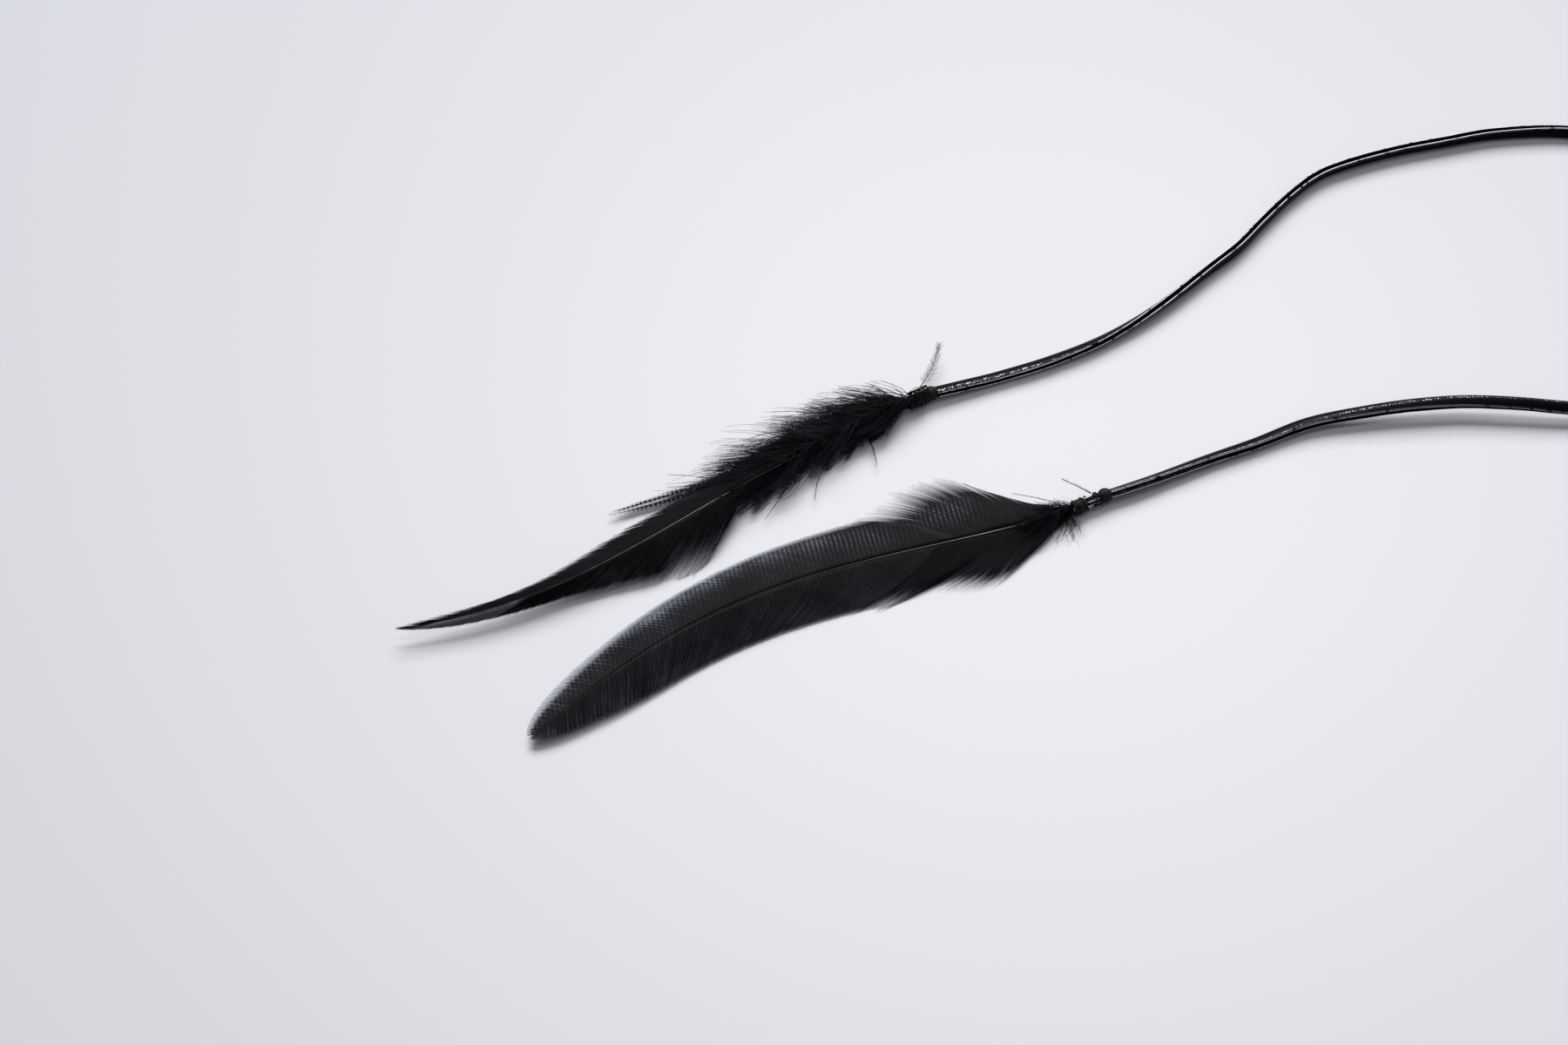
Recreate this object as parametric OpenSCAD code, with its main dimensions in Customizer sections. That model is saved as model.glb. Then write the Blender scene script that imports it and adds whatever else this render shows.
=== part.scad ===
// Folded leather lace with a bound bundle of feathers on each end, lying on a flat surface.
// Origin: on that surface, under the middle of the two pendants. +X runs towards the lace's bight.
// Pendant A is the narrow feather under a pile of down. Pendant B is the broad round feather.
// Each pendant is built in its own axes: under its knot, with +X along its feather.

/* [Lace] */
// Width of the folded lace
lace_w = 3; // [2.4:0.1:3.6]
// Thickness of the folded lace
lace_t = 2; // [1.6:0.1:2.4]

/* [Knots and wraps] */
// Radius of the thread knot that each pendant turns on
knot_r = 1.7; // [1.6:0.05:2]
// Gap between a knot and what turns on it
flex_gap = 0.2; // [0.1:0.05:0.3]
// Thickness of the wound thread
thread_t = 0.25; // [0.15:0.05:0.3]
// Length of the wrap on pendant A
wrap_a_l = 3.8; // [3:0.1:5]
// Length of the wrap on pendant B
wrap_b_l = 3; // [2:0.1:5]
// Bare lace between the knot and the wrap of pendant B
bare_lace_l = 3.2; // [2:0.1:5]

/* [Pendant A] */
// Length from the knot to the tip of the main feather
feather_a_l = 133.5; // [120:0.5:145]
// Radius of the main feather's quill
quill_a_r = 0.45; // [0.35:0.05:0.5]
// Reach of the main feather's upper vane from its shaft
vane_a_upper_w = 5.3; // [4:0.1:6]
// Reach of the main feather's lower vane
vane_a_lower_w = 7.8; // [6.5:0.1:8.5]
// Reach of the loose barbs at the main feather's lower side
fan_w = 11; // [9:0.1:12]
// Length from the knot to the tip of the accent feather
accent_l = 79; // [74:0.5:84]
// Radius of the accent feather's quill
accent_r = 0.28; // [0.2:0.02:0.3]
// Reach of the accent feather's vanes
accent_w = 1.6; // [1.2:0.1:1.8]
// Length from the knot to the end of the down's stem
down_l = 52; // [44:0.5:56]
// Radius of the down's stem
down_r = 0.2; // [0.15:0.01:0.25]
// Height of the down beside the shaft
down_h = 5; // [4:0.1:6]
// Reach of the down on its upper side
down_upper_w = 13; // [10:0.1:14.5]
// Reach of the down on its lower side
down_lower_w = 3.8; // [3:0.1:5]
// Length of the longest wisp of the down
wisp_l = 12.5; // [10:0.1:14]
// Length of the small plume
plume_l = 13; // [9:0.5:14]
// Reach of the small plume's barbs
plume_w = 1.4; // [1:0.1:1.8]
// Radius of the two quill ends that are folded back over the wrap
quill_end_r = 0.3; // [0.2:0.02:0.35]
// Length of those quill ends
quill_end_l = 5; // [4:0.1:5.5]

/* [Pendant B] */
// Length from the knot to the tip of the broad feather
feather_b_l = 140; // [128:0.5:150]
// Radius of the broad feather's quill
quill_b_r = 0.5; // [0.4:0.05:0.55]
// Reach of the broad feather's upper vane from its shaft
vane_b_upper_w = 11.2; // [9:0.1:12.5]
// Reach of the broad feather's lower vane
vane_b_lower_w = 10; // [8:0.1:11.5]
// Reach of the broad feather's loose upper barbs
barbs_b_w = 16.6; // [14:0.1:18]
// Reach of the broad feather's loose lower clumps
clump_b_w = 11.8; // [10:0.1:13]
// Length of the longest strand of the down tuft
tuft_l = 8; // [5:0.1:9]
// Length of the bare stray quill
stray_quill_l = 7; // [5:0.1:9]
// Radius of the bare stray quill
stray_quill_r = 0.18; // [0.12:0.01:0.22]
// Length of the thin bare shaft
bare_shaft_l = 13; // [10:0.5:15]
// Radius of the thin bare shaft
bare_shaft_r = 0.14; // [0.1:0.01:0.18]

/* [Feathers] */
// Thickness of a vane
vane_t = 0.4; // [0.3:0.05:0.6]
// Radius of a shaft at its tip
shaft_tip_r = 0.12; // [0.1:0.01:0.2]
// Radius of a loose strand
strand_r = 0.18; // [0.12:0.01:0.25]
// Gap between a shaft and its vanes
vane_gap = 0.08; // [0.05:0.01:0.12]

/* [Hidden] */

// The two knots lie far enough apart for the feathers to clear each other.
knot_a_at = [39, 37];
knot_b_at = [77.2, 32.2 - fan_w - vane_b_upper_w];
heading_a = 207.5;
heading_b = 205.5;

// Route of the lace from knot A to knot B: x, y and the height of its underside.
lace_route = [
    [47, 39.5, 0.3], [55, 42, 0], [67.5, 46.5, 0], [80, 52.5, 0], [92.5, 61, 0], [105, 71.5, 0],
    [112, 77.5, 0], [118.5, 85, 0], [125, 92, 0], [132, 98, 0], [139, 101.5, 0], [151, 105.5, 0],
    [164, 108.5, 0], [177, 111, 0], [194, 111.5, 0], [209, 108, 0], [222, 99, 0], [230, 86, 0],
    [233, 72, 0], [230, 57, 0], [221, 44, 0], [209, 36, 0.3], [196, 32, 1], [184, 32.5, 1.6],
    [172, 33.5, 2], [160, 34, 2], [148, 33.2, 1.8], [136, 31.5, 1.2], [124, 29, 0.5],
    [112, 24, 0], [100, 19.3, 0], [88, 14.2, 0.2],
];
LACE_RINGS = 62;

// Inside a wrap the lace fills the bore above the split, and the quills lie below it.
turn_l = knot_r + flex_gap;
bore_r = knot_r - thread_t;
fit = 0.03;
fill_r = bore_r - fit;
split_z = knot_r - 0.3;
quill_space = 0.12;
wrap_a_end = turn_l + wrap_a_l;
wrap_b_end = turn_l + bare_lace_l + wrap_b_l;
shaft_start = 0.4;

function quill_z(r) = split_z - fit - r;
accent_y = -(quill_a_r + accent_r + quill_space);
down_y = quill_a_r + down_r + quill_space;

// A feather: base, tip, sideways bow, where the bow peaks, upward arch, radius at the base.
feather_a = [
    [wrap_a_end + shaft_start, 0, quill_z(quill_a_r)], [feather_a_l, 0, 2.6], 7, 1.9, 2.6, quill_a_r
];
accent = [
    [wrap_a_end + shaft_start, accent_y, quill_z(accent_r)], [accent_l, -5.4, 1.2],
    1.7, 1.2, -0.65, accent_r
];
side_gap = 0.2;
plume_r = 0.15;
plume_way = [-0.78, -0.62, 0];
plume_base = [turn_l + 0.5, -knot_r - side_gap - plume_r, knot_r];
plume = [plume_base, plume_base + plume_l * plume_way + [0, 0, 1.8], -0.8, 1, 0, plume_r];
feather_b = [
    [wrap_b_end + shaft_start, 0, quill_z(quill_b_r)], [feather_b_l, 0, 1.4], -10, 1.3, 2,
    quill_b_r
];
stray_way = [0.68, -0.73, 0];
stray_base = [turn_l + 0.6, -knot_r - stray_quill_r, knot_r];
stray = [
    stray_base, stray_base + stray_quill_l * stray_way + [0, 0, 1.8], -0.3, 1, 0, stray_quill_r
];
bare_way = [0.8, -0.6, 0];
bare_base = [wrap_b_end + 0.3, -1.1, knot_r];
bare = [bare_base, bare_base + bare_shaft_l * bare_way + [0, 0, 1], -0.5, 1, 0, bare_shaft_r];

// The down's stem runs beside the main feather's shaft and climbs this much over it.
DOWN_CLIMB = 1.2;
// Lower side of the down: roots and ends of its barbs, and how wide it is between the ends.
down_roots = [0.02, 0.27];
down_ends = [0.05, 0.36];
down_widths = down_lower_w * [0.9, 1, 0.79, 0.58, 0.37, 0.21];
past_stem = down_y + down_r + quill_space - quill_a_r;
// Width of the accent feather's vanes from their first barb to the tip.
ACCENT_FORM = [0.88, 1, 0.94, 0.75, 0.5];
// A barb bends at this share of its length along the shaft and of its width out from it.
BARB_RUN = 0.36;
BARB_RISE = 0.66;
BARBS = 20;
BARB_STEPS = 5;
SHAFT_RINGS = 24;
TUBE_SIDES = 8;
// A tube's corners lie this much further out than its flat sides.
CORNER = 1 / cos(180 / TUBE_SIDES);

// ---- Curves ----

function mix(a, b, t) = a + (b - a) * t;
function unit(v) = v / norm(v);
function left_of(v) = cross([0, 0, 1], v);
function reversed(list) = [for (i = [len(list) - 1:-1:0]) list[i]];

// Smooth curve through a list of numbers or points, at u from 0 to the last one's index.
function spline(p, u) =
    let (
        last = len(p) - 1, i = min(floor(u), last - 1), t = u - i,
        a = p[max(i - 1, 0)], b = p[i], c = p[i + 1], d = p[min(i + 2, last)]
    )
    0.5 * (2 * b + (c - a) * t + (2 * a - 5 * b + 4 * c - d) * t ^ 2
        + (3 * b - a - 3 * c + d) * t ^ 3);

// A point of a feather's centre line, from 0 at its base to 1 at its tip.
function on_shaft(f, t) =
    mix(f[0], f[1], t) + unit(left_of(f[1] - f[0])) * f[2] * sin(180 * t ^ f[3])
    + [0, 0, f[4] * sin(180 * t)];
function shaft_r(f, t) = mix(f[5], shaft_tip_r, t);
function forward(f, t) =
    let (d = on_shaft(f, min(t + 0.01, 1)) - on_shaft(f, max(t - 0.01, 0))) unit([d.x, d.y, 0]);

// A point of the barb that leaves the shaft at t and ends beside it at end_t, v from 0 to 1.
function on_barb(f, side, t, end_t, width, end_z, inner, v) =
    let (
        out = side * left_of(forward(f, t)), end_out = side * left_of(forward(f, end_t)),
        root = on_shaft(f, t) + out * (shaft_r(f, t) + inner),
        foot = on_shaft(f, end_t),
        end = [foot.x, foot.y, end_z] + end_out * (shaft_r(f, end_t) + inner + width),
        bend = root + forward(f, t) * norm(end - root) * BARB_RUN + out * width * BARB_RISE
    )
    (1 - v) ^ 2 * root + 2 * v * (1 - v) * bend + v ^ 2 * end;

// ---- Solids ----

// Closed tube along a path, a ring at each point, with sizes [half width, half thickness].
module tube(path, sizes) {
    last = len(path) - 1;
    function way(i) = unit(path[min(i + 1, last)] - path[max(i - 1, 0)]);
    points = [for (i = [0:last])
        let (aside = unit(left_of(way(i))), up = cross(way(i), aside))
        for (k = [0:TUBE_SIDES - 1])
            let (a = 360 * (k + 0.5) / TUBE_SIDES)
            path[i] + CORNER * (aside * sizes[i][0] * cos(a) + up * sizes[i][1] * sin(a))];
    function id(i, k) = i * TUBE_SIDES + k % TUBE_SIDES;
    faces = [
        for (i = [0:last - 1], k = [0:TUBE_SIDES - 1]) each [
            [id(i, k), id(i + 1, k), id(i + 1, k + 1)],
            [id(i, k), id(i + 1, k + 1), id(i, k + 1)],
        ],
        [for (k = [0:TUBE_SIDES - 1]) id(0, k)],
        [for (k = [TUBE_SIDES - 1:-1:0]) id(last, k)],
    ];
    polyhedron(points, faces, convexity = 6);
}

// Closed sheet between an upper and a lower grid of points, rows along +X and columns along +Y.
module sheet(upper, lower) {
    rows = len(upper);
    cols = len(upper[0]);
    points = [each each upper, each each lower];
    function top(i, j) = i * cols + j;
    function low(i, j) = rows * cols + i * cols + j;
    quads = [
        for (i = [0:rows - 2]) each [
            [top(i, 0), top(i + 1, 0), low(i + 1, 0), low(i, 0)],
            [top(i, cols - 1), low(i, cols - 1), low(i + 1, cols - 1), top(i + 1, cols - 1)],
        ],
        for (j = [0:cols - 2]) each [
            [top(0, j), low(0, j), low(0, j + 1), top(0, j + 1)],
            [top(rows - 1, j), top(rows - 1, j + 1), low(rows - 1, j + 1), low(rows - 1, j)],
        ],
        for (i = [0:rows - 2], j = [0:cols - 2]) each [
            [low(i, j), low(i + 1, j), low(i + 1, j + 1), low(i, j + 1)],
            [top(i, j), top(i, j + 1), top(i + 1, j + 1), top(i + 1, j)],
        ],
    ];
    polyhedron(points, [for (q = quads) each [[q[0], q[1], q[2]], [q[0], q[2], q[3]]]],
        convexity = 6);
}

// Shaft of a feather, with its quill running back from the base to quill_from.
module shaft(f, quill_from) {
    path = [
        [quill_from, f[0].y, f[0].z],
        for (i = [0:SHAFT_RINGS]) on_shaft(f, i / SHAFT_RINGS),
    ];
    sizes = [
        [f[5], f[5]],
        for (i = [0:SHAFT_RINGS]) let (r = shaft_r(f, i / SHAFT_RINGS)) [r, r],
    ];
    tube(path, sizes);
}

// Straight or bowed strand from its base to its tip.
module strand(f) {
    rings = 8;
    tube([for (i = [0:rings]) on_shaft(f, i / rings)],
        [for (i = [0:rings]) let (r = shaft_r(f, i / rings)) [r, r]]);
}

// One side of a vane. Its barbs leave the shaft between the two roots and end between the two
// ends, widths wide there. edge_z and thick are [first, last], thick from the shaft outwards.
module vane(f, side, roots, ends, widths, edge_z, thick = [vane_t, vane_t], floor_z = 0,
    inner = vane_gap, closes = false) {
    function half(v) = mix(thick[0], thick[1], v) / 2;
    function row(u) = [for (j = [0:BARB_STEPS - 1])
        let (v = j / (BARB_STEPS - 1), width = spline(widths, u * (len(widths) - 1)))
        [on_barb(f, side, mix(roots[0], roots[1], u), mix(ends[0], ends[1], u),
            width * (closes ? sqrt(1 - u ^ 4) : 1), mix(edge_z[0], edge_z[1], u ^ 3), inner, v),
         half(v)]];
    function ordered(list) = side > 0 ? list : reversed(list);
    rows = [for (i = [0:BARBS]) ordered(row(i / BARBS))];
    low = [for (r = rows) [for (p = r) [p[0].x, p[0].y, max(p[0].z - p[1], floor_z)]]];
    high = [for (i = [0:BARBS]) [for (j = [0:BARB_STEPS - 1])
        let (p = rows[i][j]) [p[0].x, p[0].y, max(p[0].z + p[1], low[i][j].z + vane_t)]]];
    sheet(high, low);
}

// ---- Places ----

module on_pendant_a() {
    translate([knot_a_at.x, knot_a_at.y, 0]) rotate([0, 0, heading_a]) children();
}

module on_pendant_b() {
    translate([knot_b_at.x, knot_b_at.y, 0]) rotate([0, 0, heading_b]) children();
}

// Round bar along the pendant's +X at the knot's height.
module bar(r, from, to, y = 0, z = knot_r) {
    translate([from, y, z]) rotate([0, 90, 0]) cylinder(r = r, h = to - from, $fn = 48);
}

module sleeve(from, to) {
    difference() {
        bar(knot_r, from, to);
        bar(bore_r, from - 1, to + 1);
    }
}

// Upper or lower part of the bore's filling, cut along the split.
module half_fill(from, to, upper) {
    intersection() {
        bar(fill_r, from, to);
        translate([from, -knot_r, upper ? split_z : split_z - fit - 2 * knot_r])
            cube([to - from, 2 * knot_r, 2 * knot_r]);
    }
}

// ---- Lace and knots ----

module lace() {
    function start(knot, next) =
        let (k = [knot.x, knot.y, knot_r], n = [next.x, next.y, knot_r])
        k + unit(n - k) * turn_l;
    through = [
        start(knot_a_at, lace_route[0]),
        for (p = lace_route) [p.x, p.y, p.z + lace_t / 2],
        start(knot_b_at, lace_route[len(lace_route) - 1]),
    ];
    path = [for (i = [0:LACE_RINGS])
        let (p = spline(through, i * (len(through) - 1) / LACE_RINGS))
        [p.x, p.y, max(p.z, lace_t / 2)]];
    color("#16161a") tube(path, [for (p = path) [lace_w / 2, lace_t / 2]]);
}

module knot(at) {
    color("#101013") translate([at.x, at.y, knot_r]) sphere(r = knot_r, $fn = 64);
}

module knot_a() knot(knot_a_at);
module knot_b() knot(knot_b_at);

// ---- Pendant A ----

module wrap_a() {
    color("#131316") on_pendant_a() sleeve(turn_l, wrap_a_end);
}

module lace_end_a() {
    color("#16161a") on_pendant_a() half_fill(turn_l, wrap_a_end, true);
}

module glue_a() {
    color("#3a3a3c") on_pendant_a() difference() {
        half_fill(turn_l, wrap_a_end, false);
        bar(CORNER * quill_a_r + fit, turn_l - 1, wrap_a_end + 1, z = quill_z(quill_a_r));
        bar(CORNER * accent_r + fit, turn_l - 1, wrap_a_end + 1, accent_y, quill_z(accent_r));
        bar(CORNER * down_r + fit, turn_l - 1, wrap_a_end + 1, down_y, quill_z(down_r));
    }
}

module quill_ends_a() {
    ring = knot_r + quill_end_r + 0.15;
    color("#1d1d20") on_pendant_a()
        for (a = [98, 132])
            bar(quill_end_r, 0.5, 0.5 + quill_end_l, ring * cos(a), knot_r + ring * sin(a));
}

module feather_a_shaft() {
    color("#2b2b30") on_pendant_a() shaft(feather_a, turn_l);
}

module feather_a_upper_vane() {
    color("#1a1b20") on_pendant_a()
        vane(feather_a, -1, [0.39, 0.955], [0.49, 1],
            vane_a_upper_w * [1, 0.96, 0.74, 0.49, 0.38, 0.19], [2.6, 3.2], closes = true);
}

module feather_a_lower_vane() {
    color("#1a1b20") on_pendant_a()
        vane(feather_a, 1, [0.43, 0.955], [0.555, 1],
            vane_a_lower_w * [1, 0.58, 0.28, 0.19, 0.15, 0.12], [1.4, 3.2], closes = true);
}

module feather_a_loose_barbs() {
    color("#1c1d22") on_pendant_a()
        vane(feather_a, 1, [0.35, 0.422], [0.466, 0.545],
            [each fan_w * [0.82, 1, 0.96, 0.84], vane_a_lower_w], [vane_t / 2, 1]);
}

module accent_shaft() {
    color("#2b2b30") on_pendant_a() shaft(accent, turn_l);
}

module accent_upper_vane() {
    color("#202127") on_pendant_a()
        vane(accent, -1, [0.5, 0.94], [0.6, 1], accent_w * ACCENT_FORM, [0.5, 1.2],
            closes = true);
}

module accent_lower_vane() {
    color("#202127") on_pendant_a()
        vane(accent, 1, [0.5, 0.94], [0.6, 1], accent_w * ACCENT_FORM, [0.5, 1.2],
            closes = true);
}

module down_stem() {
    last_t = (down_l - feather_a[0].x) / (feather_a[1].x - feather_a[0].x);
    path = [for (i = [0:SHAFT_RINGS])
        let (t = last_t * i / SHAFT_RINGS)
        on_shaft(feather_a, t) + left_of(forward(feather_a, t)) * down_y
            + [0, 0, quill_a_r - down_r + DOWN_CLIMB * sin(90 * t / last_t)]];
    start = [turn_l, path[0].y, path[0].z];
    sizes = [for (i = [0:SHAFT_RINGS + 1]) let (r = mix(down_r, shaft_tip_r, i / SHAFT_RINGS)) [r, r]];
    color("#2b2b30") on_pendant_a() tube([start, each path], sizes);
}

// The down lies on the accent feather, so its underside stays above it on that side.
module down_upper() {
    over_accent = 1.5;
    color("#121216") on_pendant_a()
        vane(feather_a, -1, [0.02, 0.335], [0.06, 0.415],
            down_upper_w * [0.5, 0.85, 1, 1, 0.96, 0.92], [over_accent, over_accent + 0.6],
            [down_h, 1], over_accent, inner = 0.15);
}

module down_lower() {
    color("#121216") on_pendant_a()
        vane(feather_a, 1, down_roots, down_ends, down_widths, [0.5, 0.8], [down_h, 0.8],
            inner = past_stem);
}

// Each wisp: where it leaves the edge of the down, its share of the length, its angle, its bow.
module down_wisps() {
    function edge(u) =
        on_barb(feather_a, 1, mix(down_roots[0], down_roots[1], u),
            mix(down_ends[0], down_ends[1], u), spline(down_widths, u * (len(down_widths) - 1)),
            0.9, past_stem, 1);
    color("#17171b") on_pendant_a()
        for (w = [[0.16, 0.48, 77, 0.4], [0.4, 0.92, 42, -1.2], [0.67, 1, 36, 0.4]])
            let (way = [cos(w[2]), sin(w[2]), 0], start = edge(w[0]) + 0.35 * way)
            strand([start, start + wisp_l * w[1] * way + [0, 0, 0.5], w[3], 1, 0, strand_r]);
}

module plume_stem() {
    color("#2b2b30") on_pendant_a() strand(plume);
}

module plume_barbs() {
    color("#1c1d22") on_pendant_a()
        for (side = [-1, 1])
            vane(plume, side, [0.3, 0.9], [0.45, 1], plume_w * [0.64, 1, 0.86, 0.43], [2.6, 3.5],
                [0.3, 0.3]);
}

// ---- Pendant B ----

module wrap_b() {
    color("#131316") on_pendant_b() sleeve(turn_l + bare_lace_l, wrap_b_end);
}

module lace_end_b() {
    color("#16161a") on_pendant_b() half_fill(turn_l, wrap_b_end, true);
}

module glue_b() {
    color("#3a3a3c") on_pendant_b() difference() {
        half_fill(turn_l + bare_lace_l, wrap_b_end, false);
        bar(CORNER * quill_b_r + fit, turn_l - 1, wrap_b_end + 1, z = quill_z(quill_b_r));
    }
}

module feather_b_shaft() {
    color("#2b2b30") on_pendant_b() shaft(feather_b, turn_l);
}

module feather_b_upper_vane() {
    color("#2a2c33") on_pendant_b()
        vane(feather_b, -1, [0.2, 0.95], [0.344, 1],
            vane_b_upper_w * [1, 0.96, 0.86, 0.77, 0.79], [vane_t / 2, 1.5], closes = true);
}

module feather_b_lower_vane() {
    color("#1f2026") on_pendant_b()
        vane(feather_b, 1, [0.235, 0.95], [0.385, 1],
            vane_b_lower_w * [0.98, 0.94, 0.94, 1, 0.88], [vane_t / 2, 1.5], closes = true);
}

module feather_b_upper_barbs() {
    color("#24262c") on_pendant_b()
        vane(feather_b, -1, [0.03, 0.192], [0.06, 0.335],
            [each barbs_b_w * [0.3, 0.63, 0.96, 1, 0.84], vane_b_upper_w], [0.6, 0.3]);
}

module feather_b_base_clump() {
    color("#1b1c21") on_pendant_b()
        vane(feather_b, 1, [0.02, 0.135], [0.045, 0.265],
            clump_b_w * [0.27, 0.68, 1, 0.9, 0.73], [0.6, 0.3]);
}

module feather_b_second_clump() {
    color("#1d1e24") on_pendant_b()
        vane(feather_b, 1, [0.142, 0.228], [0.273, 0.376],
            [each clump_b_w * [0.75, 0.9], vane_b_lower_w], [0.3, 0.3]);
}

module down_tuft() {
    color("#17171b") on_pendant_b()
        for (w = [[50, 1], [60, 0.81], [74, 0.56]])
            strand([
                [wrap_b_end + 0.4, 1, 1.2],
                [wrap_b_end + 0.4, 1, 0.5] + tuft_l * w[1] * [cos(w[0]), sin(w[0]), 0],
                0.4, 1, 0, strand_r
            ]);
}

module stray_quill() {
    color("#1d1d20") on_pendant_b() strand(stray);
}

module bare_shaft() {
    color("#1d1d20") on_pendant_b() strand(bare);
}

lace();
knot_a();
knot_b();
wrap_a();
lace_end_a();
glue_a();
quill_ends_a();
feather_a_shaft();
feather_a_upper_vane();
feather_a_lower_vane();
feather_a_loose_barbs();
accent_shaft();
accent_upper_vane();
accent_lower_vane();
down_stem();
down_upper();
down_lower();
down_wisps();
plume_stem();
plume_barbs();
wrap_b();
lace_end_b();
glue_b();
feather_b_shaft();
feather_b_upper_vane();
feather_b_lower_vane();
feather_b_upper_barbs();
feather_b_base_clump();
feather_b_second_clump();
down_tuft();
stray_quill();
bare_shaft();
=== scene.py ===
from math import radians

import bpy
import numpy as np
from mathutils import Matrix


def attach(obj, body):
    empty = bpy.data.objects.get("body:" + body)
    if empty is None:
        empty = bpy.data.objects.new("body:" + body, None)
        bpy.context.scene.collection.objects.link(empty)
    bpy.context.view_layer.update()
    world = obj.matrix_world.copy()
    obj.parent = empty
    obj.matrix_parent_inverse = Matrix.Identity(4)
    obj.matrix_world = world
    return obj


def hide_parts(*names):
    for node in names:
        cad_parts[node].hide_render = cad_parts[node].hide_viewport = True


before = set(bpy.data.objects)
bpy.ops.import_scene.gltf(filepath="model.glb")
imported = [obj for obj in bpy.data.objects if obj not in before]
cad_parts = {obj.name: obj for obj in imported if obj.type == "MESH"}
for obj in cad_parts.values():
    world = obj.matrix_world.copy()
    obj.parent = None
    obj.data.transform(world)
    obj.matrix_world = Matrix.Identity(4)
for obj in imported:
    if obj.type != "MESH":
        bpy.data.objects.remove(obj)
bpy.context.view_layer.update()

SCENE = bpy.context.scene

# Feather-tipped folded lace. Pieces on a pendant are worked out in millimetres in the
# pendant's own axes: under its knot, +X along its feather, +Y towards its lower side.
MM = 0.001
UP = np.array([0.0, 0.0, 1.0])
# Where each pendant's knot lies, and the way its feather points, in degrees.
PENDANTS = {"a": ((39.0, 37.0), 207.5), "b": ((77.2, 10.0), 205.5)}

KNOT_R = 1.7
TURN = 1.9  # where the pieces of a pendant start beside its knot
THREAD = 0.25
BORE = KNOT_R - THREAD
WRAP_A_END = 5.7
BARE_LACE = 3.2
WRAP_B_END = 8.1
QUILL_TIP_R = 0.12
SHAFT_FLAT = 0.9
VANE_GAP = 0.08
# A barb bends at these shares of its reach along the shaft and of its width out from it.
BARB_RUN = 0.36
BARB_RISE = 0.66
BARB_THICK = 0.07


# ---- camera, floor and light ----

def set_camera():
    lens = bpy.data.cameras.new("camera")
    lens.lens = 70
    lens.sensor_width = 36
    lens.clip_start = 0.01
    eye = bpy.data.objects.new("camera", lens)
    eye.location = (0.0055, -0.336, 0.5889)
    eye.rotation_euler = (radians(30), 0, 0)
    SCENE.collection.objects.link(eye)
    SCENE.camera = eye


def soft_box(name, size, place, power):
    """White square lamp that looks at the middle of the table."""
    lamp = bpy.data.lights.new(name, "AREA")
    lamp.shape = "RECTANGLE"
    lamp.size, lamp.size_y = size
    lamp.energy = power
    holder = bpy.data.objects.new(name, lamp)
    x, y, z = place
    holder.location = place
    holder.rotation_euler = (np.arctan2(np.hypot(x, y), z), 0, np.arctan2(x, -y))
    SCENE.collection.objects.link(holder)


# ---- numbers and curves ----

def mix(a, b, t):
    return a + (b - a) * t


def unit(v):
    return v / np.maximum(np.linalg.norm(v, axis=-1, keepdims=True), 1e-12)


def left_of(v):
    return np.cross(UP, v)


def ease(t):
    """Rises from 0 to 1 as t does, level at both ends."""
    t = np.clip(t, 0, 1)
    return t * t * (3 - 2 * t)


def spline(points, u):
    """Smooth curve through points, u from 0 to the last one's index: on each stretch a cubic
    whose slope at a point is half the step between its two neighbours."""
    p = np.asarray(points, float)
    last = len(p) - 1
    u = np.asarray(u, float)
    i = np.clip(np.floor(u).astype(int), 0, last - 1)
    t = (u - i).reshape(u.shape + (1,) * (p.ndim - 1))
    a, b = p[np.maximum(i - 1, 0)], p[i]
    c, d = p[i + 1], p[np.minimum(i + 2, last)]
    return 0.5 * (2 * b + (c - a) * t + (2 * a - 5 * b + 4 * c - d) * t ** 2
                  + (3 * b - a - 3 * c + d) * t ** 3)


def placed(points, pendant):
    """Turns points about the vertical by the pendant's heading and moves them to its knot."""
    (x, y), heading = PENDANTS[pendant]
    c, s = np.cos(radians(heading)), np.sin(radians(heading))
    return (points @ np.array([[c, s, 0], [-s, c, 0], [0, 0, 1]]) + [x, y, 0]) * MM


# ---- feathers as curves ----

def feather(base, tip, bow, skew, arch, radius):
    """Shaft of a feather: its two ends, its line's bow and arch, and its quill's radius."""
    return dict(base=np.array(base, float), tip=np.array(tip, float), bow=bow, skew=skew,
                arch=arch, radius=radius)


def on_shaft(f, t):
    """Centre line of a shaft: straight from base to tip, bowed aside by a half sine whose
    peak is skewed along it, and arched upwards by a half sine."""
    t = np.asarray(t, float)[..., None]
    aside = unit(left_of(f["tip"] - f["base"]))
    inside = np.clip(t, 0, 1)
    return (mix(f["base"], f["tip"], t) + aside * f["bow"] * np.sin(np.pi * inside ** f["skew"])
            + UP * f["arch"] * np.sin(np.pi * inside))


def shaft_radius(f, t):
    return mix(f["radius"], QUILL_TIP_R, np.clip(t, 0, 1))


def forward(f, t):
    d = on_shaft(f, np.minimum(t + 0.01, 1)) - on_shaft(f, np.maximum(t - 0.01, 0))
    return unit(d * [1, 1, 0])


def vane(shaft, side, roots, ends, widths, edge_z, inner=VANE_GAP, closes=False):
    """Vane at one side of a shaft, -1 or 1. Its first and last barb are rooted at two shares of
    the shaft and end beside two others; its widths go from the first barb to the last, and its
    edge from one height to another. It may close to a point."""
    return dict(shaft=shaft, side=side, roots=roots, ends=ends, widths=widths, edge_z=edge_z,
                inner=inner, closes=closes)


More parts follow.
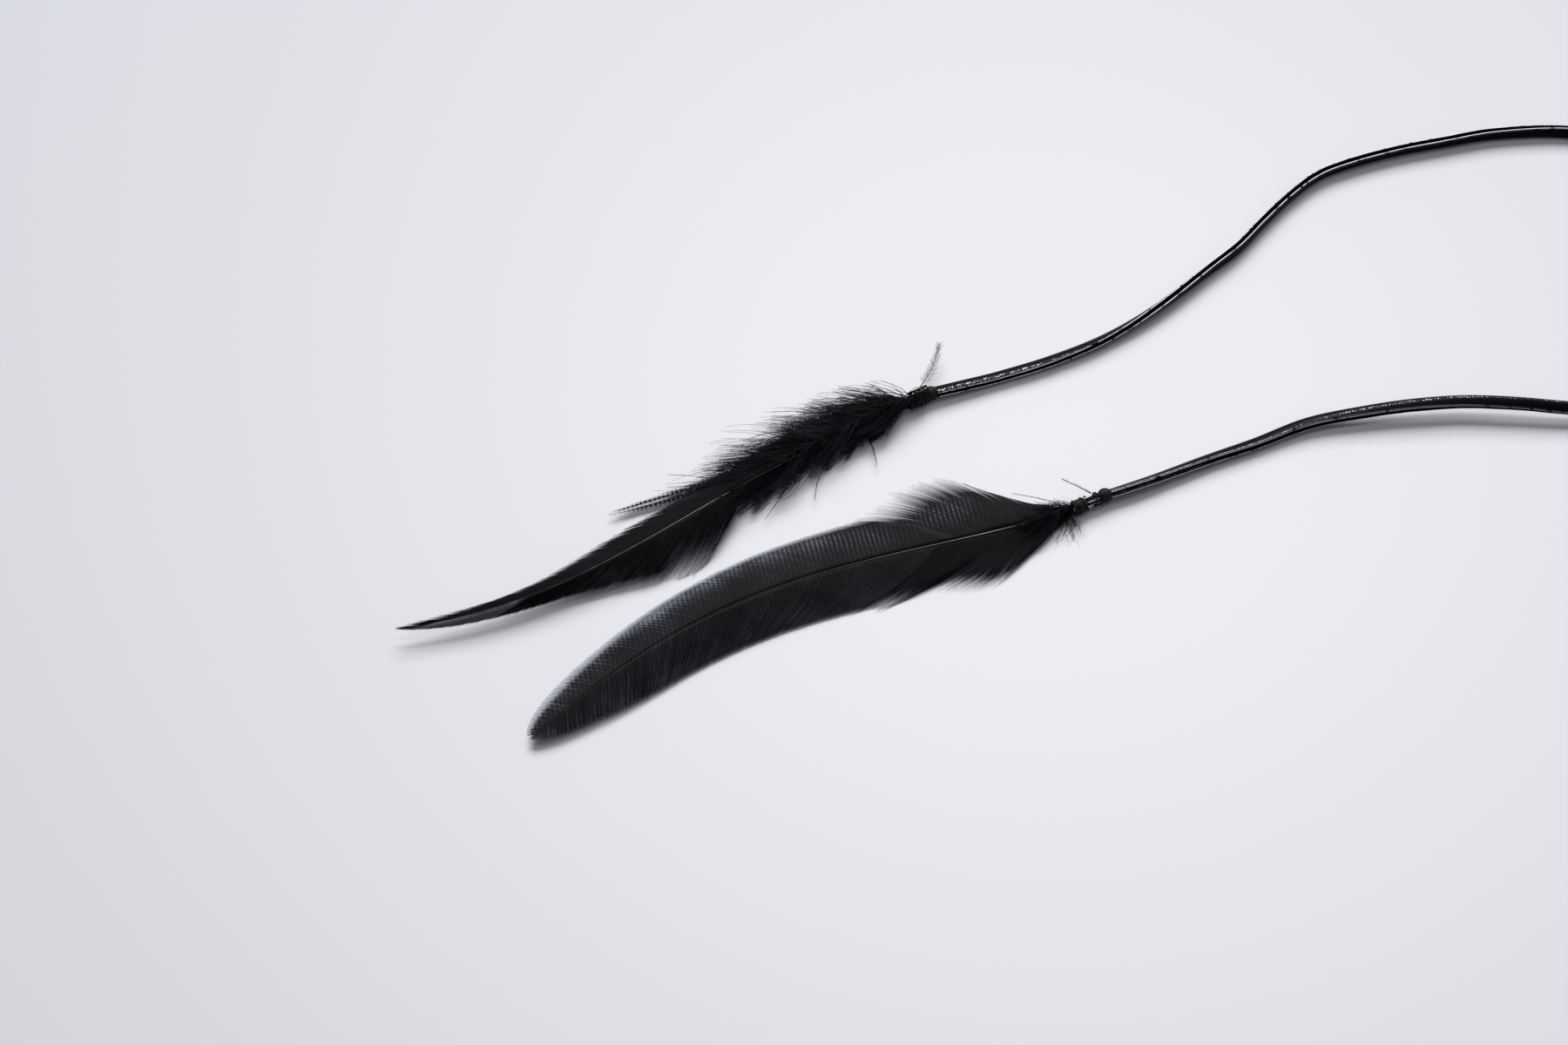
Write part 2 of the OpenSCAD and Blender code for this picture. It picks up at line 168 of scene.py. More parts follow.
def on_vane(w, u, v):
    """Point at v of the barb at u. The barb is a quadratic curve from its root on the shaft to
    its end, which lies beside a later point of the shaft at the vane's width there; it bends
    at a share of its length along the shaft and of its width out from it."""
    f, side = w["shaft"], w["side"]
    u, v = np.broadcast_arrays(np.asarray(u, float), np.asarray(v, float))
    inside = np.clip(u, 0, 1)
    root_t, end_t = mix(*w["roots"], u), mix(*w["ends"], u)
    width = spline(w["widths"], inside * (len(w["widths"]) - 1))
    if w["closes"]:
        width = width * np.sqrt(np.clip(1 - inside ** 4, 0, 1))
    ahead = forward(f, root_t)
    out, end_out = side * left_of(ahead), side * left_of(forward(f, end_t))
    root = on_shaft(f, root_t) + out * (shaft_radius(f, root_t) + w["inner"])[..., None]
    foot = on_shaft(f, end_t)
    foot[..., 2] = mix(*w["edge_z"], inside ** 3)
    end = foot + end_out * (shaft_radius(f, end_t) + w["inner"] + width)[..., None]
    reach = np.linalg.norm(end - root, axis=-1)
    bend = root + ahead * (reach * BARB_RUN)[..., None] + out * (width * BARB_RISE)[..., None]
    v = v[..., None]
    return (1 - v) ** 2 * root + 2 * v * (1 - v) * bend + v ** 2 * end


# ---- meshes ----

def make_piece(name, points, faces, finish, body, replaced, marks):
    """One mesh from an array of points in metres and a list of face arrays, each with the same
    number of corners in every row. marks are named numbers, one for each point."""
    mesh = bpy.data.meshes.new(name)
    sizes = np.concatenate([np.full(len(f), f.shape[1]) for f in faces])
    corners = np.concatenate([f.ravel() for f in faces])
    mesh.vertices.add(len(points))
    mesh.vertices.foreach_set("co", points.astype(np.float32).ravel())
    mesh.loops.add(len(corners))
    mesh.loops.foreach_set("vertex_index", corners.astype(np.int32))
    mesh.polygons.add(len(sizes))
    mesh.polygons.foreach_set("loop_start", (np.cumsum(sizes) - sizes).astype(np.int32))
    mesh.polygons.foreach_set("use_smooth", np.ones(len(sizes), bool))
    mesh.update(calc_edges=True)
    mesh.validate()
    for mark, values in marks.items():
        store = mesh.attributes.new(mark, "FLOAT", "POINT")
        store.data.foreach_set("value", np.asarray(values, np.float32).ravel())
    mesh.materials.append(finish)
    piece = bpy.data.objects.new(name, mesh)
    SCENE.collection.objects.link(piece)
    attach(piece, body)
    if replaced:
        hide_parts(*replaced)
    return piece


def ring_faces(strands, rings, corners):
    """Faces of closed strands whose points run strand by strand, ring by ring, and round each
    ring from its left over its top: walls between rings, and a face across each end."""
    at = np.arange(strands * rings * corners).reshape(strands, rings, corners)
    beside = np.roll(at, -1, axis=2)
    walls = np.stack([at[:, :-1], beside[:, :-1], beside[:, 1:], at[:, 1:]], -1)
    return [walls.reshape(-1, 4), at[:, 0, ::-1], at[:, -1]]


def strand_mesh(paths, wide, thick, facing=UP):
    """Points of tapering strands with a four-cornered section, left, top, right and bottom: it
    stands across the path, wide to each side and thick up and down along facing."""
    way = unit(np.gradient(paths, axis=1))
    aside = unit(np.cross(facing, way))
    top = np.cross(way, aside)
    wide = np.broadcast_to(wide, paths.shape[:2])[..., None]
    thick = np.broadcast_to(thick, paths.shape[:2])[..., None]
    rings = np.stack([paths + aside * wide, paths + top * thick, paths - aside * wide,
                      paths - top * thick], 2)
    return rings.reshape(-1, 3), ring_faces(paths.shape[0], paths.shape[1], 4)


def joined(*meshes):
    """Several (points, faces, marks) as one: points one after another, faces moved to match."""
    points, faces, marks, count = [], [], {}, 0
    for p, fs, m in meshes:
        points.append(p)
        faces += [f + count for f in fs]
        count += len(p)
        for name, values in m.items():
            marks.setdefault(name, []).append(values)
    return np.concatenate(points), faces, {n: np.concatenate(v) for n, v in marks.items()}


# ---- finishes ----

class Finish:
    """A material's node tree, with short calls for the nodes that the finishes share."""

    def __init__(self, name, roughness, **sockets):
        self.material = bpy.data.materials.new(name)
        self.material.use_nodes = True
        self.nodes = self.material.node_tree.nodes
        self.links = self.material.node_tree.links
        self.shader = self.nodes["Principled BSDF"]
        self.shader.inputs["Roughness"].default_value = roughness
        for socket, value in sockets.items():
            self.shader.inputs[socket.replace("_", " ")].default_value = value

    def put(self, socket, value):
        """Sets a socket to a number, or links it to another node's output."""
        if isinstance(value, bpy.types.NodeSocket):
            self.links.new(value, socket)
        else:
            socket.default_value = value

    def node(self, kind, **inputs):
        node = self.nodes.new("ShaderNode" + kind)
        for name, value in inputs.items():
            self.put(node.inputs[name.replace("_", " ")], value)
        return node

    def mark(self, name):
        node = self.node("Attribute")
        node.attribute_name = name
        return node.outputs["Fac"]

    def place(self):
        return self.node("TexCoord").outputs["Object"]

    def stretched(self, scale, turn):
        return self.node("Mapping", Vector=self.place(), Scale=scale,
                         Rotation=(0, 0, radians(turn))).outputs["Vector"]

    def noise(self, scale, detail=3.0, where=None):
        return self.node("TexNoise", Vector=where or self.place(), Scale=scale, Detail=detail,
                         Roughness=0.6).outputs["Fac"]

    def cells(self, scale):
        return self.node("TexVoronoi", Vector=self.place(), Scale=scale).outputs["Distance"]

    def op(self, kind, a, b):
        node = self.node("Math")
        node.operation = kind
        self.put(node.inputs[0], a)
        self.put(node.inputs[1], b)
        return node.outputs[0]

    def span(self, value, low, high, to_low=0.0, to_high=1.0):
        return self.node("MapRange", Value=value, From_Min=low, From_Max=high, To_Min=to_low,
                         To_Max=to_high).outputs["Result"]

    def shades(self, value, *stops):
        """Colour ramp through (place, colour) stops."""
        node = self.node("ValToRGB", Fac=value)
        ramp = node.color_ramp
        while len(ramp.elements) < len(stops):
            ramp.elements.new(0.5)
        for element, (place, colour) in zip(ramp.elements, stops):
            element.position = place
            element.color = (*colour, 1)
        return node.outputs["Color"]

    def bump(self, height, strength, distance):
        node = self.node("Bump", Strength=strength, Distance=distance, Height=height)
        self.wire(node.outputs["Normal"], "Normal")

    def wire(self, value, socket):
        self.links.new(value, self.shader.inputs[socket])


def leather_finish():
    """Black folded leather with a fine grain. Its cut edges carry thin pale lines that break off
    here and there: wear with a painted highlight. Bright speckles are painted glints along the
    band of the strip that faces the window lamp."""
    f = Finish("folded_lace_leather", 0.3, Specular_IOR_Level=0.024)
    pores = f.noise(5200, 4)
    creases = f.noise(850)
    fine = f.op("ADD", f.op("MULTIPLY", f.cells(3400), 0.25), f.op("MULTIPLY", pores, 0.25))
    # Cut-edge lines: pale wear with a painted highlight along the crests.
    edge_wear_and_highlight = f.op("MULTIPLY", f.mark("edge"), f.span(f.noise(620), 0.32, 0.46, 0.25, 1.0))
    # Painted glints: bright speckles on the band of the strip that faces the window lamp.
    painted_glints = f.op("MULTIPLY", f.span(f.noise(3000, 2), 0.44, 0.6, 0.0, 0.75),
                  f.op("MULTIPLY", f.mark("painted_glint_band"), f.span(creases, 0.36, 0.5, 0.35, 1.0)))
    f.wire(f.shades(f.op("ADD", edge_wear_and_highlight, painted_glints), (0.0, (0.004, 0.004, 0.005)),
                    (0.35, (0.022, 0.022, 0.026)), (0.55, (0.3, 0.3, 0.32)),
                    (0.72, (0.85, 0.85, 0.88))), "Base Color")
    f.wire(f.span(pores, 0.3, 0.7, 0.18, 0.38), "Roughness")
    f.bump(f.op("ADD", fine, creases), 0.5, 0.00016)
    return f.material


def glue_finish():
    """Dark shiny glue with small bubbles."""
    f = Finish("binder_glue", 0.2, Specular_IOR_Level=0.4)
    f.wire(f.shades(f.noise(900), (0.3, (0.006, 0.005, 0.004)),
                    (0.7, (0.02, 0.017, 0.012))), "Base Color")
    f.bump(f.cells(2500), 0.3, 0.0001)
    return f.material


def thread_finish():
    """Matt black waxed thread with fine fibres."""
    f = Finish("binding_thread", 0.5, Specular_IOR_Level=0.2)
    fibres = f.noise(4200, 4, f.stretched((1, 4, 4), 25))
    f.wire(f.shades(fibres, (0.3, (0.002, 0.002, 0.0025)), (0.75, (0.012, 0.0115, 0.013))),
           "Base Color")
    f.bump(fibres, 0.6, 0.0001)
    return f.material


def quill_finish(name, side, crown):
    """Horn of a shaft: dark at its sides, paler along its crown, with long streaks. The pale crown
    is a painted highlight line along the top, with the horn's own paler colour.
    """
    f = Finish(name, 0.3, Specular_IOR_Level=0.2)
    streaks = f.noise(900, 3, f.stretched((1, 6, 6), 26))
    pale = f.op("MULTIPLY", f.mark("crown"), f.span(streaks, 0.35, 0.65, 0.55, 1.0))
    f.wire(f.shades(pale, (0.0, side), (1.0, crown)), "Base Color")
    f.wire(f.span(streaks, 0.3, 0.7, 0.22, 0.42), "Roughness")
    f.bump(streaks, 0.3, 0.00005)
    return f.material


def barb_finish(name, deep, face, edge, roughness, sheen=0.0, gloss=0.07, own=0.55):
    """Dyed barbs: each has its own tone, and all turn paler towards the vane's edge. Where the
    vane is marked rippled, fine pale stripes cross them as their hooks do. Where a vane paints
    sheen or a highlight into the tone mark, its barbs reach the palest stops."""
    f = Finish(name, roughness, Specular_IOR_Level=gloss, Sheen_Weight=sheen,
               Sheen_Roughness=0.4, Sheen_Tint=(0.62, 0.5, 0.72, 1))
    drift = f.noise(120, 2)
    fine = f.noise(2600, 2)
    tone = f.op("ADD", f.op("MULTIPLY", f.mark("tone"), own),
                f.op("MULTIPLY", f.mark("along"), 0.45))
    tone = f.op("ADD", tone, f.span(drift, 0.3, 0.7, -0.14, 0.14))
    tone = f.op("ADD", tone, f.span(fine, 0.3, 0.7, -0.08, 0.08))
    stripes = f.node("TexWave", Vector=f.stretched((1, 1, 1), -12), Scale=300, Distortion=2.2,
                     Detail=1, Detail_Scale=0.6)
    tone = f.op("ADD", tone, f.op("MULTIPLY", f.mark("ripple"),
                                  f.span(stripes.outputs["Fac"], 0.1, 0.9, -0.2, 0.45)))
    f.wire(f.shades(tone, (0.12, deep), (0.5, face), (0.85, edge), (1.0, [3 * c for c in edge])),
           "Base Color")
    f.bump(fine, 0.25, 0.00006)
    return f.material


def floor_finish():
    """Pale matt table with a painted pool of light: its colour darkens slowly away from its
    middle.
    """
    f = Finish("pale_table", 0.85, Specular_IOR_Level=0.1)
    away = f.node("VectorMath")
    away.operation = "DISTANCE"
    f.put(away.inputs[0], f.place())
    f.put(away.inputs[1], (0.06, 0.0, 0))
    far = f.op("MULTIPLY", away.outputs["Value"], away.outputs["Value"])
    f.wire(f.shades(f.op("DIVIDE", far, f.op("ADD", far, 0.05)),
                    (0.0, (0.81, 0.817, 0.843)), (1.0, (0.53, 0.542, 0.58))), "Base Color")
    return f.material


# ---- floor and lamps ----

def set_stage():
    mesh = bpy.data.meshes.new("table")
    mesh.from_pydata([(-3, -3, 0), (3, -3, 0), (3, 3, 0), (-3, 3, 0)], [], [(0, 1, 2, 3)])
    mesh.materials.append(floor_finish())
    table = bpy.data.objects.new("table", mesh)
    SCENE.collection.objects.link(table)
    soft_box("window_lamp", (3.4, 2.2), (0.2, 3.6, 2.8), 302)
    soft_box("strip_lamp", (1.8, 0.07), (0.1, 0.5, 2.1), 5)
    world = bpy.data.worlds.new("room")
    world.use_nodes = True
    glow = world.node_tree.nodes["Background"].inputs
    glow["Color"].default_value = (0.89, 0.9, 1.0, 1)
    glow["Strength"].default_value = 0.17
    SCENE.world = world
    SCENE.view_settings.view_transform = "Standard"


# ---- lace ----

LACE_ROUTE = [
    (47, 39.5, 0.3), (55, 42, 0), (67.5, 46.5, 0), (80, 52.5, 0), (92.5, 61, 0), (105, 71.5, 0),
    (112, 77.5, 0), (118.5, 85, 0), (125, 92, 0), (132, 98, 0), (139, 101.5, 0), (151, 105.5, 0),
    (164, 108.5, 0), (177, 111, 0), (194, 111.5, 0), (209, 108, 0), (222, 99, 0), (230, 86, 0),
    (233, 72, 0), (230, 57, 0), (221, 44, 0), (209, 36, 0.3), (196, 32, 1), (184, 32.5, 1.6),
    (172, 33.5, 2), (160, 34, 2), (148, 33.2, 1.8), (136, 31.5, 1.2), (124, 29, 0.5),
    (112, 24, 0), (100, 19.3, 0), (88, 14.2, 0.2),
]
LACE_W, LACE_T = 3.0, 2.0
# Section of the folded strip: across it towards the fold, and up. The fold is at +1.5, and
# the two cut edges are at the other side with a groove between them.
FOLD_SECTION = [
    (1.5, 0), (1.43, 0.4), (1.2, 0.7), (0.8, 0.88), (0.3, 0.98), (-0.2, 1.0), (-0.7, 0.96),
    (-1.1, 0.87), (-1.36, 0.76), (-1.47, 0.6), (-1.42, 0.36), (-1.18, 0.1), (-0.7, 0.0),
    (-1.1, -0.12), (-1.28, -0.32), (-1.36, -0.55), (-1.26, -0.78), (-1.0, -0.88), (-0.5, -0.97),
    (0, -1.0), (0.6, -0.94), (1.1, -0.76), (1.42, -0.42),
]
# Corners of the finished section up to each of these points: they stand closest at the edges.
FOLD_CORNERS = ((0, 0), (7, 20), (17, 54), (23, 66))
# Crests of the cut edges on the section, and how bright each is painted: pale wear with a painted
# highlight line.
CUT_CRESTS = np.array([(-1.46, 0.66, 1), (-1.35, -0.52, 1), (-1.2, -0.83, 0.5)])
# Way that the painted glint band along the strip faces, halfway between the window lamp and the
# camera, and how far from it the band reaches.
GLINT_WAY = np.array([0, 0.19, 0.98])
GLINT_REACH = radians(10)
# How the strip turns about its own line, in degrees, at places along the lace from 0 to 1.
LACE_TURN = [
    (0, 22), (0.07, 18), (0.11, 30), (0.145, 60), (0.18, 105), (0.24, 92), (0.36, 84),
    (0.44, 100), (0.55, 200), (0.66, 228), (0.74, 200), (0.8, 182), (0.87, 164), (0.91, 150),
    (0.94, 138), (0.98, 130), (1, 128),
]


def knot_end(knot, beside):
    """Where the lace goes into a knot, a little inside its winding."""
    middle = np.array([*knot, KNOT_R])
    return middle + unit(np.array([beside[0], beside[1], KNOT_R]) - middle) * 1.3


def lace_line(rings):
    """Middle line of the lace: a smooth curve through its route, never under the table."""
    through = np.array([knot_end(PENDANTS["a"][0], LACE_ROUTE[0]),
                        *[(x, y, z + LACE_T / 2) for x, y, z in LACE_ROUTE],
                        knot_end(PENDANTS["b"][0], LACE_ROUTE[-1])])
    line = spline(through, np.linspace(0, len(through) - 1, rings))
    line[:, 2] = np.maximum(line[:, 2], LACE_T / 2)
    return line


def folded_strip(line, turn, breadth, height):
    """Folded strip along a line: the section, smoothed, is turned about the line by turn and
    carried along it; small slow waves along the strip move each cut edge in and out. The edge mark
    is 1 on the crests of the cut edges, where pale wear with a painted highlight line is laid. The
    painted glint band mark is 1 along the line of the strip that faces the glint way, towards the
    window lamp, and 0 beyond its reach."""
    corners = FOLD_CORNERS[-1][1]
    at, so_far = np.array(FOLD_CORNERS).T
    section = spline(FOLD_SECTION + FOLD_SECTION[:1], np.interp(np.arange(corners), so_far, at))
    run = np.concatenate([[0], np.cumsum(np.linalg.norm(np.diff(line, axis=0), axis=1))])
    wave = (np.sin(run / 2.3 + 1.3) + np.sin(run / 0.93) * 0.6 + np.sin(run / 5.1)) / 2.6
    edge = np.clip((-section[:, 0] - 0.9) / 0.6, 0, 1) ** 2
    a = section[None, :, 0] * (1 - 0.05 * edge * wave[:, None]) * breadth
    b = section[None, :, 1] * (1 + 0.05 * edge * np.roll(wave, 37)[:, None]) * height
    way = unit(np.gradient(line, axis=0))
    aside = unit(left_of(way))
    up = np.cross(way, aside)
    c, s = np.cos(np.radians(turn))[:, None], np.sin(np.radians(turn))[:, None]
    across, over = aside * c - up * s, up * c + aside * s
    points = line[:, None] + a[..., None] * across[:, None] + b[..., None] * over[:, None]
    away = np.linalg.norm(section[:, None] - CUT_CRESTS[:, :2], axis=2)
    ridge = (np.clip(1.3 - away / 0.13, 0, 1) * CUT_CRESTS[:, 2]).max(1)
    run_round = np.roll(section, -1, 0) - np.roll(section, 1, 0)
    out = unit(np.stack([run_round[:, 1], -run_round[:, 0]], -1))
    out = out[:, :1] * across[:, None] + out[:, 1:] * over[:, None]
    # Painted glint band: where the surface faces halfway between the window lamp and the camera.
    painted_glint_band = ease((out @ GLINT_WAY - np.cos(GLINT_REACH)) / 0.011)
    return points.reshape(-1, 3), ring_faces(1, len(line), corners), dict(
        edge=np.tile(ridge, len(line)), painted_glint_band=painted_glint_band.ravel())


def lace():
    line = lace_line(1250)
    run = np.linspace(0, 1, len(line))
    turn = np.interp(run, *np.array(LACE_TURN).T)
    window = 91
    turn = np.convolve(np.pad(turn, window // 2, "edge"), np.ones(window) / window, "valid")
    lift = np.hypot(LACE_W / 2 * np.sin(np.radians(turn)), LACE_T / 2 * np.cos(np.radians(turn)))
    line[:, 2] += np.maximum(lift - LACE_T / 2, 0) * ease(run / 0.03) * ease((1 - run) / 0.03)
    points, faces, marks = folded_strip(line, turn, 1, 1)
    points[:, 2] = np.maximum(points[:, 2], 0)
    piece = make_piece("folded_lace", points * MM, faces, leather_finish(), "lace",
                       ["lace"], marks)


# ---- barbs ----

def barb_paths(w, count, steps, rng, ragged=0.03, pull=0.0, clumps=0, curl=0.0):
    """Paths of a vane's barbs and the vane's face at each point. Barb i runs along the vane at
    an even share u; a clump draws the outer parts of its barbs towards its middle."""
    u = (np.arange(count) + 0.5) / count
    long = 1 + ragged * rng.standard_normal(count)
    v = np.linspace(0, 1, steps)[None, :] * long[:, None]
    bent = np.repeat(u[:, None], steps, 1)
    if clumps:
        edges = np.sort(np.concatenate([[0, 1], rng.uniform(0.02, 0.98, clumps - 1)]))
        which = np.searchsorted(edges, u) - 1
        middle = (edges[which] + edges[which + 1]) / 2
        bent = bent + (middle - u)[:, None] * pull * v ** 2.5
    paths = on_vane(w, bent, v)
    paths[..., 2] = np.maximum(paths[..., 2], 0.15)
    beside = on_vane(w, bent + 0.004, v) - on_vane(w, bent - 0.004, v)
    way = np.gradient(paths, axis=1)
    face = unit(np.cross(way, beside))
    face = face * np.sign(face[..., 2:] + 1e-9)
    paths = paths + face * curl * (v ** 2)[..., None]
    apart = np.linalg.norm(np.cross(unit(way), beside), axis=-1) / (0.008 * count)
    return paths, face, v, apart


def vane_mesh(w, count, rng, steps=13, fill=0.62, fade=0.75, thin=0.35, tilt=0.0, tone=None,
              airy=0.0, ripple=None, glow=None, **shape):
    """Every barb of a vane as its own flat strand: wide enough to meet its neighbour as far out
    as fade, then narrower to its tip. airy moves that place inwards on the vane's last barbs."""
    paths, face, v, apart = barb_paths(w, count, steps, rng, **shape)
    fade = fade - airy * ease(np.linspace(-1.2, 1.1, count))[:, None]
    taper = 1 - (1 - thin) * ease((v / v[:, -1:] - fade) / (1 - fade))
    wide = np.clip(apart * fill, 0.015, 0.45) * taper
    wide[:, -1] = 0.015
    way = unit(np.gradient(paths, axis=1))
    facing = unit(face + tilt * w["side"] * np.cross(way, face))
    points, faces = strand_mesh(paths, wide, BARB_THICK * np.clip(taper, 0.3, 1), facing)
    shade = rng.uniform(0, 1, count) if tone is None else tone(np.arange(count), rng)
    u = np.linspace(0, 1, count)[:, None]
    # glow, where given, adds painted sheen to each barb's tone.
    shade = shade[:, None] + (glow(u, v) if glow else 0 * v)
    marks = dict(along=np.repeat(v.ravel(), 4), tone=np.repeat(shade.ravel(), 4))
    if ripple:
        marks["ripple"] = np.repeat((ripple(u, v) + 0 * v).ravel(), 4)
    return points, faces, marks


def banded(strength, period, rise=0.0):
    """Tone of each barb: its own chance, slow bands of period barbs, and a rise from the first
    barb to the last."""
    def tones(i, rng):
        band = 0.5 + 0.5 * np.sin(2 * np.pi * i / period + 1.5 * np.sin(i / (2.3 * period)))
        return mix(rng.uniform(0, 1, len(i)), band, strength) + rise * (i / i[-1] - 0.75)
    return tones


def hair_mesh(starts, ways, lengths, radius, rng):
    """Fine straight hairs from starts along ways: each a long three-sided point, its base
    across its own direction."""
    way = unit(ways)
    aside = unit(np.cross(UP + 0.01 * way[:, ::-1], way))
    top = np.cross(way, aside)
    base = [starts + radius * (aside * np.cos(a) + top * np.sin(a))
            for a in np.radians([90, 210, 330])]
    points = np.stack(base + [starts + way * lengths[:, None]], 1).reshape(-1, 3)
    points[:, 2] = np.maximum(points[:, 2], 0.02)
    first = (np.arange(len(starts)) * 4)[:, None, None]
    sides = np.array([[0, 1, 3], [1, 2, 3], [2, 0, 3], [0, 2, 1]])
    return points, [(first + sides).reshape(-1, 3)], dict(
        along=np.tile([0.0, 0.0, 0.0, 1.0], len(starts)),
        tone=np.repeat(rng.uniform(0, 1, len(starts)), 4))


def barbules(paths, count, length, angle, radius, rng):
    """Hairs that leave each path at both sides and all round it, leaning forward by angle."""
    number, steps = paths.shape[:2]
    which = np.repeat(np.arange(number), count)
    at = rng.uniform(0.05, 1, len(which)) * (steps - 1)
    low = np.minimum(at.astype(int), steps - 2)
    part = (at - low)[:, None]
    starts = mix(paths[which, low], paths[which, low + 1], part)
    way = unit(paths[which, low + 1] - paths[which, low])
    aside = unit(np.cross(UP, way))
    top = np.cross(way, aside)
    roll = rng.uniform(0, 2 * np.pi, len(which))[:, None]
    lean = np.radians(angle + rng.normal(0, 7, len(which)))[:, None]
    ways = way * np.cos(lean) + (aside * np.cos(roll) + top * np.sin(roll) * 0.6) * np.sin(lean)
    reach = np.broadcast_to(length, number)[which] * rng.uniform(0.55, 1.15, len(which))
    reach = reach * (1 - 0.5 * (at / (steps - 1)) ** 3)
    return hair_mesh(starts, ways, reach, radius, rng)


# ---- feathers ----

A_BASE, A_TIP, DOWN_TIP = 6.1, 133.5, 52
FEATHER_A = feather((A_BASE, 0, 0.92), (A_TIP, 0, 2.6), 7, 1.9, 2.6, 0.45)
ACCENT = feather((A_BASE, -0.85, 1.09), (79, -5.4, 1.2), 1.7, 1.2, -0.65, 0.28)
FEATHER_B = feather((8.5, 0, 0.87), (140, 0, 1.4), -10, 1.3, 2, 0.5)
PLUME = feather((2.4, -2.05, 1.7), (2.4 - 10.14, -2.05 - 8.06, 3.5), -0.8, 1, 0, 0.15)
STRAY = feather((2.5, -1.88, 1.7), (2.5 + 4.76, -1.88 - 5.11, 3.5), -0.1, 1, 0, 0.18)
BARE = feather((8.4, -1.1, 1.7), (8.4 + 10.4, -1.1 - 7.8, 2.7), -0.2, 1, 0, 0.14)


def shaft_mesh(f, quill_from=None, rings=90, slim=1.0, pale=((0, 1), (1, 1))):
    """Round shaft, a little flatter than wide, along its centre line. Its crown is marked by how
    pale it is, which goes straight between the places and shares in pale; this pale crown is a
    painted highlight line along the shaft's top, with the horn's own paler colour."""
    t = np.linspace(0, 1, rings)
    line = on_shaft(f, t)
    radius = shaft_radius(f, t) * mix(1, slim, ease(t / 0.25))
    if quill_from is not None:
        line = np.concatenate([[[quill_from, f["base"][1], f["base"][2]]], line])
        radius = np.concatenate([[f["radius"]], radius])
    corners = 12
    a = 2 * np.pi * (np.arange(corners) + 0.5) / corners
    way = unit(np.gradient(line, axis=0))
    aside = unit(left_of(way))
    up = np.cross(way, aside)
    points = line[:, None] + radius[:, None, None] * (
        aside[:, None] * np.cos(a)[:, None] + up[:, None] * np.sin(a)[:, None] * SHAFT_FLAT)
    crown = np.clip((np.sin(a) - 0.75) / 0.2, 0, 1)
    shown = np.interp(np.linspace(0, 1, len(line)), *np.array(pale, float).T)
    return points.reshape(-1, 3), ring_faces(1, len(line), corners), dict(
        crown=(shown[:, None] * crown).ravel())


def add(name, mesh, finish, pendant, replaced):
    points, faces, marks = mesh
    make_piece(name, placed(points, pendant), faces, finish, "pendant_" + pendant,
               replaced, marks)


def feather_b(quill, grey, black):
    rng = np.random.default_rng(21)
    # Where along the broad shaft the painted highlight on its crown shows, in dashes.
    pale = ((0.12, 0), (0.16, 0.35), (0.3, 0.3), (0.4, 0.05), (0.83, 0.05), (0.86, 0.5),
            (0.9, 0.05))
    add("broad_feather_shaft", shaft_mesh(FEATHER_B, TURN, slim=0.24, pale=pale), quill, "b",
        ["feather_b_shaft"])
    upper = vane(FEATHER_B, -1, (0.2, 0.985), (0.344, 1),
                 11.2 * np.array([1, 0.96, 0.86, 0.77, 0.79]), (0.2, 1.5), inner=-0.3,
                 closes=True)
    lower = vane(FEATHER_B, 1, (0.235, 0.985), (0.385, 1),
                 10 * np.array([0.98, 0.94, 0.94, 1, 0.88]), (0.2, 1.5), inner=-0.3,
                 closes=True)
    add("broad_upper_vane",
        vane_mesh(upper, 290, rng, steps=15, tone=banded(0.55, 3.3, 0.6), clumps=6, pull=0.012,
                  fade=0.66, airy=0.45, thin=0.3, ragged=0.012, tilt=0.3, curl=0.25,
                  ripple=lambda u, v: 0.3 + 0.7 * np.exp(-((u - 0.13) / 0.1) ** 2)
                  * np.exp(-((v - 0.45) / 0.3) ** 2),
                  # glow paints sheen into the tone: paler towards the vane's outer edge and its
                  # tip.
                  glow=lambda u, v: 1.3 * ease((v - 0.3) / 0.6) * ease((u + 0.1) / 0.8)),
        grey, "b", ["feather_b_upper_vane"])
    add("broad_lower_vane",
        vane_mesh(lower, 280, rng, steps=15, tone=banded(0.5, 3.1, 0.3), clumps=7, pull=0.012,
                  fade=0.86, airy=0.2, thin=0.35, ragged=0.012, tilt=0.3, curl=0.25,
                  ripple=lambda u, v: 0.25 * (1 - v)), grey, "b",
        ["feather_b_lower_vane"])
    fan = vane(FEATHER_B, -1, (0.0, 0.212), (0.06, 0.36),
               [5, 10.5, 16, 16.6, 14, 11.2], (0.6, 0.3), inner=-0.4)
    add("broad_upper_loose_barbs",
        vane_mesh(fan, 136, rng, steps=16, fade=0.42, thin=0.1, ragged=0.06, clumps=16,
                  pull=0.22, tone=banded(0.5, 4),
                  ripple=lambda u, v: 0.9 * np.exp(-((u - 0.75) / 0.3) ** 2)
                  * np.exp(-((v - 0.4) / 0.25) ** 2)), grey, "b",
        ["feather_b_upper_barbs"])
    first = vane(FEATHER_B, 1, (-0.005, 0.12), (0.045, 0.285),
                 11.8 * np.array([0.27, 0.68, 1, 0.9, 0.73]), (0.6, 0.3), inner=-0.4)
    add("broad_base_clump",
        vane_mesh(first, 120, rng, steps=16, fill=0.66, fade=0.6, thin=0.1, ragged=0.07,
                  clumps=7, pull=0.22), black, "b", ["feather_b_base_clump"])
    second = vane(FEATHER_B, 1, (0.09, 0.235), (0.258, 0.396), [8.85, 10.62, 10], (0.3, 0.3),
                  inner=-0.4)
    add("broad_second_clump",
        vane_mesh(second, 90, rng, steps=16, fill=0.66, fade=0.6, thin=0.1, ragged=0.07,
                  clumps=5, pull=0.2), black, "b", ["feather_b_second_clump"])


